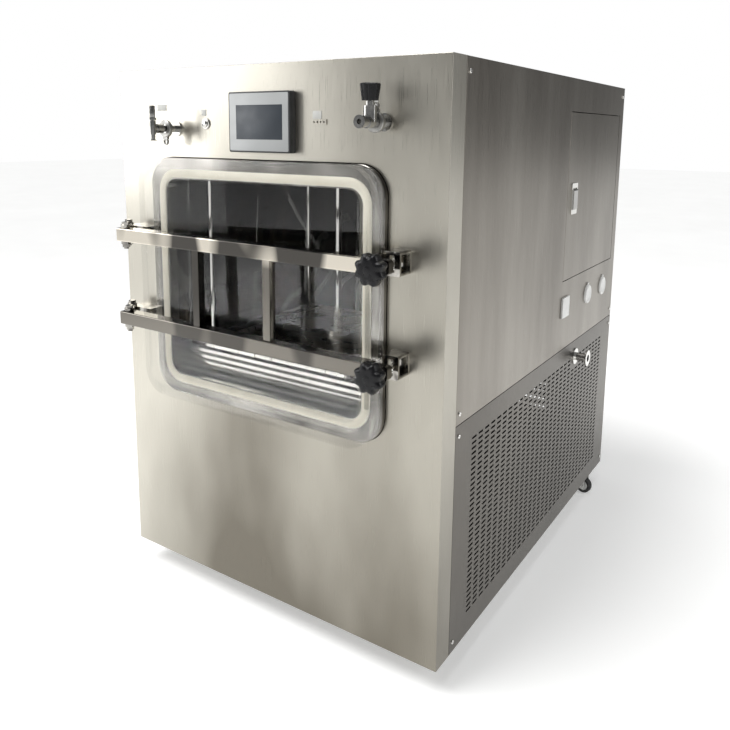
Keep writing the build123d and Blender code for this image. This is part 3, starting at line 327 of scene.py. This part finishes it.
def weave(graph):
    """Crossed wires of a braided hose sleeve."""
    where = graph.place()
    crossed = []
    for direction, scale in (("DIAGONAL", 260.0), ("Z", 240.0)):
        wires = graph.node("ShaderNodeTexWave", {"bands_direction": direction},
                           Scale=scale, Distortion=0.6, Vector=where)
        crossed.append(graph.out(wires, "Fac"))
    return crossed


def braid_colours(graph):
    left, right = weave(graph)
    return graph.mix(left * 0.6 + right * 0.4, (0.30, 0.30, 0.29), (0.70, 0.69, 0.66))


def braid_relief(graph):
    left, right = weave(graph)
    return graph.bump(left + right, 0.5, 0.0006)


braid = material("braided sleeve", braid_colours, 1.0, 0.34, normal=braid_relief)
acrylic = material("clear acrylic", shade((0.94, 0.97, 0.95), (0.97, 0.99, 0.97), 2.0), 0.0,
                   grain(0.005, 0.015, 6.0), Transmission_Weight=1.0, IOR=1.49, Alpha=0.12,
                   Specular_IOR_Level=0.12)


# ------------------------------------------------------------ geometry
def solid(name, bm, mat, body, smooth=35, replaces=()):
    """Turn a bmesh into a piece that rides with a body."""
    name = name.replace(" ", "_")
    bmesh.ops.recalc_face_normals(bm, faces=bm.faces[:])
    mesh = bpy.data.meshes.new(name)
    bm.to_mesh(mesh)
    bm.free()
    obj = bpy.data.objects.new(name, mesh)
    bpy.context.scene.collection.objects.link(obj)
    mesh.materials.append(mat)
    if smooth:
        mesh.shade_smooth()
        mesh.set_sharp_from_angle(angle=math.radians(smooth))
    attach(obj, body)
    if replaces:
        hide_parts(*replaces)
    return obj


def loft(bm, rings, caps=True):
    """Skin a list of equal rings of points."""
    rows = [[bm.verts.new(p) for p in ring] for ring in rings]
    count = len(rows[0])
    for a, b in zip(rows, rows[1:]):
        for i in range(count):
            j = (i + 1) % count
            bm.faces.new((a[i], a[j], b[j], b[i]))
    if caps:
        bm.faces.new(rows[0][::-1])
        bm.faces.new(rows[-1])


def turned(bm, centre, axis, profile, count=48):
    """Revolve (along, radius) pairs about an axis through centre."""
    along = Vector(axis).normalized()
    side = along.orthogonal().normalized()
    up = along.cross(side)
    rings = []
    for t, r in profile:
        ring = []
        for k in range(count):
            a = 2 * math.pi * k / count
            ring.append(centre + along * mm(t) + (side * math.cos(a) + up * math.sin(a)) * mm(max(r, 0.01)))
        rings.append(ring)
    loft(bm, rings)


def rounded(w, h, r, steps=10):
    """Points of a rounded rectangle in the plane, anticlockwise."""
    out = []
    for k, (sx, sy) in enumerate(((1, 1), (-1, 1), (-1, -1), (1, -1))):
        for i in range(steps + 1):
            a = math.pi / 2 * (k + i / steps)
            out.append((sx * (w / 2 - r) + r * math.cos(a), sy * (h / 2 - r) + r * math.sin(a)))
    return out


def standing(cx, cz, outline, y):
    """An outline set upright at one depth, facing the front."""
    return [C(cx + u, y, cz + v) for u, v in outline]


def cushion(bm, cx, cz, w, h, r, front, back, edge=1.5, steps=10):
    """Rounded plate in the XZ plane with a softened front and back edge."""
    layers = []
    for y, inset in ((front, edge), (front + edge * 0.3, edge * 0.3), (front + edge, 0.0),
                     (back - edge, 0.0), (back - edge * 0.3, edge * 0.3), (back, edge)):
        layers.append(standing(cx, cz, rounded(w - 2 * inset, h - 2 * inset, max(r - inset, 0.3), steps), y))
    loft(bm, layers)


def block(bm, lo, hi, edge=0.0):
    """Axis-aligned box in cabinet millimetres, with softened edges."""
    verts = [bm.verts.new(C(x, y, z)) for x in (lo[0], hi[0]) for y in (lo[1], hi[1]) for z in (lo[2], hi[2])]
    quads = ((0, 1, 3, 2), (4, 6, 7, 5), (0, 4, 5, 1), (2, 3, 7, 6), (0, 2, 6, 4), (1, 5, 7, 3))
    faces = [bm.faces.new([verts[i] for i in q]) for q in quads]
    if edge:
        edges = list({e for f in faces for e in f.edges})
        bmesh.ops.bevel(bm, geom=edges, offset=mm(edge), segments=2, affect="EDGES", profile=0.7)


def mid(node):
    """Middle of a node's box, in metres."""
    lo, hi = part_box(node)
    return (lo + hi) / 2


def local(point):
    """Metres in the row frame back to cabinet millimetres."""
    return (Vector(point) - panel_lo) * 1000


# ------------------------------------------------------------ finishes on the plain nodes
plain = {
    front_steel: ("front_panel", "sensor_sockets"),
    side_steel: ("right_upper_panel", "left_upper_panel", "rear_panel", "cabinet_door"),
    top_steel: ("top_panel",),
    frame_steel: ("frame", "caster_plates", "cabinet_box"),
    vessel_steel: ("cold_trap",),
    wall_steel: ("chamber",),
    shelf_steel: ("shelf_one", "shelf_two", "shelf_three"),
    top_plate: ("pressing_plate",),
    bar_steel: ("clamp_bars",),
    fitting_steel_painted_reflections: ("hinge_links", "hinge_brackets", "clamp_keepers"),
    polished: ("upper_clamp_bolt", "lower_clamp_bolt", "upper_clamp_washer", "lower_clamp_washer",
               "guide_rods", "ram_rod", "panel_screws", "vacuum_port", "latch_seat"),
    dark_chrome: ("vent_valve_body", "charge_valve_body", "valve_spigots", "latch_lever", "button_bezel"),
    cast_alloy: ("valve_clamps", "condenser"),
    machine_black: ("compressor", "fan_rotor"),
    module_grey: ("control_modules",),
    zinc: tuple(n for n in frame["nodes"] if n.startswith("caster_fork")),
    braid: ("oil_hoses",),
}
for mat, names in plain.items():
    for name in names:
        data = frame["nodes"][name].data
        data.materials.clear()
        data.materials.append(mat)


# ------------------------------------------------------------ perforated side panels
# millimetres in the panel's own plane: one slot, the ruling, and the middle of the first slot
slot_len, slot_high = 28.0, 6.0
pitch_y, pitch_z = 40.4, 14.4
columns, rows = 29, 35
first_y, first_z = 183.0, 68.0
skin = 1.5
hem = 14.0
port_clear = 46.0


def sieve(name, node, outer, inward, avoid=None):
    """Folded panel whose skin is a ruled field of breathing slots."""
    bm = bmesh.new()
    lo, hi = (local(v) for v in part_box(node))
    ys = [first_y + (i - 0.5) * pitch_y for i in range(columns + 1)]
    zs = [first_z + (j - 0.5) * pitch_z for j in range(rows + 1)]
    cell = rounded(pitch_y, pitch_z, 0.001, 2)
    hole = rounded(slot_len, slot_high, slot_high / 2 - 0.01, 2)
    for i in range(columns):
        for j in range(rows):
            cy, cz = first_y + i * pitch_y, first_z + j * pitch_z
            shut = avoid and math.hypot(cy - avoid[0], cz - avoid[1]) < avoid[2]
            for x in (outer, outer + inward * skin):
                rim = [bm.verts.new(C(x, cy + u, cz + w)) for u, w in cell]
                if shut:
                    bm.faces.new(rim)
                    continue
                ring = [bm.verts.new(C(x, cy + u, cz + w)) for u, w in hole]
                for k in range(len(rim)):
                    m = (k + 1) % len(rim)
                    bm.faces.new((rim[k], rim[m], ring[m], ring[k]))
            if not shut:
                near = [bm.verts.new(C(outer, cy + u, cz + w)) for u, w in hole]
                far = [bm.verts.new(C(outer + inward * skin, cy + u, cz + w)) for u, w in hole]
                for k in range(len(near)):
                    m = (k + 1) % len(near)
                    bm.faces.new((near[k], near[m], far[m], far[k]))
    bmesh.ops.remove_doubles(bm, verts=bm.verts[:], dist=0.00002)
    a, b = sorted((outer, outer + inward * skin))
    for y0, y1, za, zb in ((lo.y, ys[0], lo.z, hi.z), (ys[-1], hi.y, lo.z, hi.z),
                           (ys[0], ys[-1], lo.z, zs[0]), (ys[0], ys[-1], zs[-1], hi.z)):
        block(bm, (a, y0, za), (b, y1, zb))
    c, d = sorted((outer + inward * skin, outer + inward * hem))
    for y0, y1, za, zb in ((lo.y, lo.y + skin, lo.z, hi.z), (hi.y - skin, hi.y, lo.z, hi.z),
                           (lo.y + skin, hi.y - skin, lo.z, lo.z + skin),
                           (lo.y + skin, hi.y - skin, hi.z - skin, hi.z)):
        block(bm, (c, y0, za), (d, y1, zb))
    return solid(name, bm, slotted_steel, "cabinet", 30, (node,))


port = local(mid("vacuum_port"))
right_x = (panel_hi.x - panel_lo.x) * 1000
sieve("right breathing panel", "right_lower_panel", right_x, -1, (port.y, port.z, port_clear))
sieve("left breathing panel", "left_lower_panel", 0.0, 1)

# ------------------------------------------------------------ door and seal
slab_corner, slab_edge = 76.0, 4.0
seal_corner, seal_band, seal_edge, seal_step = 66.0, 24.0, 1.5, 0.8

lo, hi = (local(v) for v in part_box("door_slab"))
slab_cx, slab_cz = (lo.x + hi.x) / 2, (lo.z + hi.z) / 2
bm = bmesh.new()
cushion(bm, slab_cx, slab_cz, hi.x - lo.x, hi.z - lo.z, slab_corner, lo.y, hi.y, slab_edge, 16)
solid("clear door slab", bm, acrylic, "vessel_door", 40, ("door_slab",))

lo, hi = (local(v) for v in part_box("door_gasket"))
bm = bmesh.new()
seal_cx, seal_cz = (lo.x + hi.x) / 2, (lo.z + hi.z) / 2
outer_w, outer_h = hi.x - lo.x, hi.z - lo.z
rings = []
for y, inset in ((lo.y, seal_edge), (lo.y, seal_band - seal_edge), (lo.y + seal_step, seal_band),
                 (hi.y, seal_band), (hi.y, 0.0), (lo.y + seal_step, 0.0), (lo.y, seal_edge)):
    outline = rounded(outer_w - 2 * inset, outer_h - 2 * inset, seal_corner - inset, 16)
    rings.append(standing(seal_cx, seal_cz, outline, y))
loft(bm, rings, caps=False)
bmesh.ops.remove_doubles(bm, verts=bm.verts[:], dist=0.00001)
solid("door seal", bm, cream_seal, "cabinet", 50, ("door_gasket",))

# ------------------------------------------------------------ star knobs
lobe_mean, lobe_swing, lobes = 35.0, 3.4, 8
lobe_depth = 36.0
knob_steps = 128

for which in ("upper", "lower"):
    lo, hi = (local(v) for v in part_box(which + "_star_knob"))
    cx, cz = (lo.x + hi.x) / 2, (lo.z + hi.z) / 2
    bm = bmesh.new()
    rings = []
    for depth, grow in ((0.0, 0.60), (1.0, 0.80), (4.0, 0.94), (10.0, 1.0),
                        (26.0, 1.0), (33.0, 0.93), (38.0, 0.70)):
        ring = []
        for k in range(knob_steps):
            a = 2 * math.pi * k / knob_steps
            wave = lobe_mean + lobe_swing * math.cos(lobes * a - math.pi)
            ring.append(C(cx + wave * grow * math.cos(a), lo.y + depth, cz + wave * grow * math.sin(a)))
        rings.append(ring)
    loft(bm, rings)
    hub = ((0, 22), (8, 17), (hi.y - lo.y - lobe_depth, 15))
    turned(bm, C(cx, lo.y + lobe_depth, cz), (0, 1, 0), hub, 40)
    solid(which + " star knob", bm, gloss_black, which + "_knob", 40,
          (which + "_star_knob",))
    bm = bmesh.new()
    turned(bm, C(cx, lo.y - 0.4, cz), (0, 1, 0), ((0, 9), (0.6, 11), (1.5, 11.5)), 32)
    solid(which + " knob cap", bm, gloss_black, which + "_knob", 40)

# ------------------------------------------------------------ touch screen
case_step, pane_proud = 1.5, 0.4
back_w, back_h, back_from, back_to = 182.0, 126.0, 0.5, 45.5

lo, hi = (local(v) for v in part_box("touch_screen_housing"))
cx, cz = (lo.x + hi.x) / 2, (lo.z + hi.z) / 2
w, h = hi.x - lo.x, hi.z - lo.z
bm = bmesh.new()
cushion(bm, cx, cz, w, h, 5, lo.y + case_step, 0.0, 1.0)
solid("screen case", bm, dark_case, "cabinet", 35, ("touch_screen_housing",))
bm = bmesh.new()
cushion(bm, cx, cz, w - 8, h - 8, 4, lo.y, lo.y + 4.0, 1.0)
solid("screen face", bm, grey_face, "cabinet", 35)
glo, ghi = (local(v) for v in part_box("touch_screen_glass"))
bm = bmesh.new()
cushion(bm, (glo.x + ghi.x) / 2, (glo.z + ghi.z) / 2, ghi.x - glo.x, ghi.z - glo.z, 1,
        lo.y - pane_proud, lo.y + 2, 0.3)
solid("screen pane", bm, glass_dark, "cabinet", 35, ("touch_screen_glass",))
bm = bmesh.new()
block(bm, (cx - back_w / 2, back_from, cz - back_h / 2), (cx + back_w / 2, back_to, cz + back_h / 2), 1.0)
solid("screen back", bm, dark_case, "cabinet", 35)

# ------------------------------------------------------------ push button, plates, sockets
lo, hi = (local(v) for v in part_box("push_button"))
bx, bz = (lo.x + hi.x) / 2, (lo.z + hi.z) / 2
bm = bmesh.new()
tall = hi.y - lo.y
turned(bm, C(bx, hi.y, bz), (0, -1, 0), ((0, 11), (tall - 3.5, 11), (tall - 1.2, 9.6), (tall, 5.5)), 40)
solid("push button", bm, polished, "start_button", 40, ("push_button",))
# name, middle across and up, width and height
for name, x, z, w, h in (("button plate", 345, 1378, 17, 17), ("socket plate", 734, 1369, 27, 20),
                         ("vent plate", 177, 1393, 38, 18), ("charge plate", 906, 1400, 11, 25)):
    bm = bmesh.new()
    cushion(bm, x, z, w, h, 1.2, -1.0, 0.0, 0.3, 4)
    solid(name, bm, label_paper, "cabinet", 30)

# ------------------------------------------------------------ valve grips
cap_tall, cap_flutes, flute_deep = 38.0, 10, 1.5
stem_tall, groove_deep = 22.0, 0.5

lo, hi = (local(v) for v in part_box("charge_valve_knob"))
vx, vy = (lo.x + hi.x) / 2, (lo.y + hi.y) / 2
bm = bmesh.new()
rings = []
top = hi.z
for z, r in ((top - cap_tall, 18.5), (top - 36, 19.2), (top - 6, 23.6), (top - 2, 24.0), (top, 21.5)):
    ring = []
    for k in range(120):
        a = 2 * math.pi * k / 120
        dent = flute_deep * max(0.0, math.cos(cap_flutes * a)) ** 3
        ring.append(C(vx + (r - dent) * math.cos(a), vy + (r - dent) * math.sin(a), z))
    rings.append(ring)
loft(bm, rings)
turned(bm, C(vx, vy, lo.z), (0, 0, 1), ((0, 4), (top - cap_tall - lo.z, 4)), 24)
solid("charge valve knob", bm, gloss_black, "charge_knob", 45, ("charge_valve_knob",))

lo, hi = (local(v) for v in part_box("vent_valve_stem"))
vx, vy = (lo.x + hi.x) / 2, (lo.y + hi.y) / 2
bm = bmesh.new()
turned(bm, C(vx, vy, lo.z), (0, 0, 1), ((0, 4), (16, 4), (16, 11), (stem_tall, 11), (stem_tall, 8)), 40)
rings = []
for z, r in ((lo.z + stem_tall, 7.4), (lo.z + stem_tall + 2, 8.0), (hi.z - 2, 8.0), (hi.z, 6.8)):
    ring = []
    for k in range(96):
        a = 2 * math.pi * k / 96
        reach = r - groove_deep * (k % 4 == 0)
        ring.append(C(vx + reach * math.cos(a), vy + reach * math.sin(a), z))
    rings.append(ring)
loft(bm, rings)
solid("vent valve stem", bm, dark_chrome, "vent_stem", 40, ("vent_valve_stem",))

# ------------------------------------------------------------ side caps
cap_places, cap_height = (1111.0, 1293.0), 767.0
cap_profile = ((0, 34), (4, 34), (6.6, 32.6), (7.8, 30), (8, 27), (6.8, 25.5), (6.6, 8))
square_y, square_z, square_t, square_side = 830.0, 733.0, 6.0, 68.0
screw_inset = 8.0

bm = bmesh.new()
for y in cap_places:
    turned(bm, C(right_x, y, cap_height), (1, 0, 0), cap_profile, 64)
    block(bm, (right_x, y - 5, cap_height + 30), (right_x + 5, y + 5, cap_height + 41), 1.0)
square_hi_y, square_hi_z = square_y + square_side, square_z + square_side
block(bm, (right_x, square_y, square_z), (right_x + square_t, square_hi_y, square_hi_z), 1.5)
for y in (square_y + screw_inset, square_hi_y - screw_inset):
    for z in (square_z + screw_inset, square_hi_z - screw_inset):
        turned(bm, C(right_x + square_t, y, z), (1, 0, 0), ((0, 3), (0.8, 2.6)), 20)
solid("side covers", bm, white_plastic, "cabinet", 40, ("side_covers",))

# ------------------------------------------------------------ casters
tread = ((-9, 20), (-11, 22), (-12, 26), (-10.5, 30), (-7, 31.5),
         (7, 31.5), (10.5, 30), (12, 26), (11, 22), (9, 20))
hub = ((-12, 5.4), (-12, 10), (-10, 11), (-9.4, 19.8), (9.4, 19.8), (10, 11), (12, 10), (12, 5.4))

for name in [n for n in frame["nodes"] if n.startswith("caster_wheel")]:
    short = name.replace("caster_wheel_", "")
    joint = next(j for j in frame["joints"] if j["name"] == "wheel_roll_" + short)
    centre, axis = Vector(joint["pos_m"]), Vector(joint["axis"])
    bm = bmesh.new()
    turned(bm, centre, axis, tread, 64)
    solid(name.replace("_", " "), bm, rubber, "roller_" + short, 40, (name,))
    bm = bmesh.new()
    turned(bm, centre, axis, hub, 48)
    solid("wheel hub " + short.replace("_", " "), bm, white_plastic, "roller_" + short, 40)

# ------------------------------------------------------------ floor, light, camera
bpy.ops.mesh.primitive_plane_add(size=60, location=(0, 0, 0))
floor = bpy.context.object
floor.name = "studio_floor"
floor.data.materials.append(material("pale floor", shade((0.80, 0.80, 0.79), (0.84, 0.84, 0.83), 0.8), 0.0,
                                     grain(0.6, 0.75, 3.0), Emission_Color=(1, 1, 1, 1),
                                     Emission_Strength=0.35))

world = bpy.data.worlds.new("studio")
bpy.context.scene.world = world
world.use_nodes = True
tree = world.node_tree
tree.nodes.clear()
graph = Graph(tree)
path = graph.node("ShaderNodeLightPath")
soft = graph.node("ShaderNodeBackground", Color=(0.62, 0.63, 0.64, 1.0), Strength=0.30)
white = graph.node("ShaderNodeBackground", Color=(1.0, 1.0, 1.0, 1.0), Strength=1.0)
seen = graph.node("ShaderNodeMixShader")
tree.links.new(path.outputs["Is Camera Ray"], seen.inputs[0])
tree.links.new(soft.outputs[0], seen.inputs[1])
tree.links.new(white.outputs[0], seen.inputs[2])
final = graph.node("ShaderNodeOutputWorld")
tree.links.new(seen.outputs[0], final.inputs[0])


def lamp(name, where, at, size, power):
    """Soft rectangular lamp that stands at one point and looks at another."""
    data = bpy.data.lights.new(name, "AREA")
    data.shape = "RECTANGLE"
    data.size, data.size_y = size
    data.energy = power
    obj = bpy.data.objects.new(name, data)
    obj.location = where
    obj.rotation_mode = "QUATERNION"
    obj.rotation_quaternion = (Vector(at) - Vector(where)).to_track_quat("-Z", "Y")
    bpy.context.scene.collection.objects.link(obj)


lamp("key", (-2.9, -2.6, 2.2), (-0.3, -0.8, 0.8), (1.6, 2.4), 56)
lamp("right_side", (3.6, 1.2, 2.4), (0.5, 0.4, 0.8), (1.4, 2.4), 34)
lamp("top", (0, 0.0, 4.2), (0, 0, 0), (2.6, 2.6), 60)

day = bpy.data.lights.new("day", "SUN")
day.energy = 2.2
day.angle = math.radians(30)
sky = bpy.data.objects.new("day", day)
sky.rotation_mode = "QUATERNION"
sky.rotation_quaternion = Vector((0.35, 0.45, -1.0)).to_track_quat("-Z", "Y")
bpy.context.scene.collection.objects.link(sky)

# camera: where it stands in cabinet millimetres, and its yaw, pitch and roll in degrees
stand = C(1831.24, -1460.06, 1326.19)
aim = (33.665, 9.574, 0.461)

camera = bpy.data.cameras.new("camera")
camera.sensor_width = 36.0
camera.lens = 35.94
camera.shift_x, camera.shift_y = 0.0090, -0.1494
view = bpy.data.objects.new("camera", camera)
bpy.context.scene.collection.objects.link(view)
yaw, pitch, roll = (math.radians(a) for a in aim)
ahead = Vector((-math.sin(yaw) * math.cos(pitch), math.cos(yaw) * math.cos(pitch), -math.sin(pitch)))
flat = ahead.cross(Vector((0, 0, 1))).normalized()
over = flat.cross(ahead)
right = flat * math.cos(roll) + over * math.sin(roll)
up = over * math.cos(roll) - flat * math.sin(roll)
turn = Matrix((right, up, -ahead)).transposed()
view.matrix_world = Matrix.Translation(stand) @ turn.to_4x4()
bpy.context.scene.camera = view
bpy.context.scene.view_settings.view_transform = "Standard"
